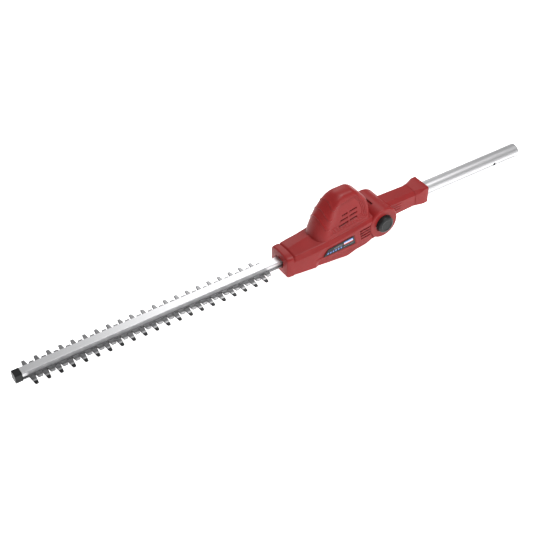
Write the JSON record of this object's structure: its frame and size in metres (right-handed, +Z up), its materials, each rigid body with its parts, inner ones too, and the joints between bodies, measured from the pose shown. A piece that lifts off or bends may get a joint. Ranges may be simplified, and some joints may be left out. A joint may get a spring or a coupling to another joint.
{
  "type": "pole hedge trimmer head",
  "caption": "Cutting head of a pole hedge trimmer: a motor casing with a long toothed blade, tilting on a round push-button joint at the end of a short coupling tube.",
  "frame": {"origin": "centre of the coupling tube's free end face", "axes": "+X along the coupling tube, away from the blade; +Z up, the side of the motor hood; the lock button is on the -Y side"},
  "size_m": [1.1005, 0.0872, 0.1382],
  "materials": {
    "red_plastic": "moulded, fine satin grain",
    "black_plastic": "moulded, fine texture",
    "dark_plastic": "moulded",
    "tube_aluminium": "drawn, lightly brushed lengthwise",
    "bar_aluminium": "extruded, lightly brushed lengthwise",
    "cast_aluminium": "die cast",
    "blade_steel": "ground edges, oiled",
    "bright_steel": "zinc plated",
    "dark_steel": "sintered, oiled",
    "label_film": "printed film",
    "copper": "wound and lacquered",
    "contact_brass": "plated",
    "magnet": "sintered",
    "cable_black": "cable sheath",
    "felt": "pressed felt"
  },
  "bodies": {
    "pole_end": {"coupling_tube": "tube_aluminium", "end_connector": "black_plastic", "connector_contacts": "contact_brass", "pole_lead": "cable_black", "neck_shell_left": "red_plastic", "neck_shell_right": "red_plastic", "neck_screws": "bright_steel", "neck_collar": "red_plastic", "tube_key_pins": "bright_steel", "pivot_hub": "bright_steel", "pivot_axle": "bright_steel", "barrel_cap": "black_plastic"},
    "lock": {"lock_button": "black_plastic", "lock_ring": "dark_steel"},
    "motor_head": {"casing_left": "red_plastic", "casing_right": "red_plastic", "casing_screws": "bright_steel", "hood_screws": "bright_steel", "motor_hood": "red_plastic", "label_plate": "label_film", "head_arm": "red_plastic", "lock_spring": "bright_steel", "front_frame": "red_plastic", "dust_seal": "felt", "detent_ring": "dark_steel", "blade_bar": "bar_aluminium", "comb_blade": "blade_steel", "blade_screws": "bright_steel", "blade_spacers": "bright_steel", "nose_cap": "black_plastic", "gearbox_base": "cast_aluminium", "gearbox_cover": "cast_aluminium", "gearbox_screws": "bright_steel", "bar_screws": "bright_steel", "crank_bearings": "bright_steel", "motor_can": "bright_steel", "motor_end_cap": "dark_plastic", "motor_magnets": "magnet", "motor_terminals": "contact_brass", "motor_lead": "cable_black"},
    "rotor": {"motor_shaft": "bright_steel", "motor_pinion": "dark_steel", "cooling_fan": "dark_plastic", "armature": "copper"},
    "crank": {"crank_gear": "dark_steel", "crank_shaft": "bright_steel", "crank_pin": "bright_steel"},
    "blade": {"cutting_blade": "blade_steel", "blade_pin": "bright_steel"},
    "rod": {"connecting_rod": "dark_steel"}
  },
  "joints": [
    {"name": "head_tilt", "type": "hinge", "parent": "pole_end", "child": "motor_head", "pos_m": [-0.36, 0, -0.0085], "axis": [0, -1, 0], "range_deg": [-15, 75]},
    {"name": "lock_push", "type": "slide", "parent": "pole_end", "child": "lock", "axis": [0, 1, 0], "range_m": [0, 0.004], "stiffness_N_per_m": 1500, "deforming": ["lock_spring"]},
    {"name": "crank_spin", "type": "hinge", "parent": "motor_head", "child": "crank", "pos_m": [-0.477, 0, -0.02], "axis": [0, 0, 1], "continuous": true},
    {"name": "motor_spin", "type": "hinge", "parent": "motor_head", "child": "rotor", "pos_m": [-0.4482, 0, 0.02], "axis": [0, 0, 1], "continuous": true},
    {"name": "blade_stroke", "type": "slide", "parent": "motor_head", "child": "blade", "axis": [1, 0, 0], "range_m": [-0.008, 0.008]},
    {"name": "rod_swing", "type": "hinge", "parent": "blade", "child": "rod", "pos_m": [-0.525, 0, -0.031], "axis": [0, 0, 1], "range_deg": [-19, 0]}
  ],
  "couplings": [
    {"joint": "motor_spin", "follows": "crank_spin", "ratio": -7}
  ]
}
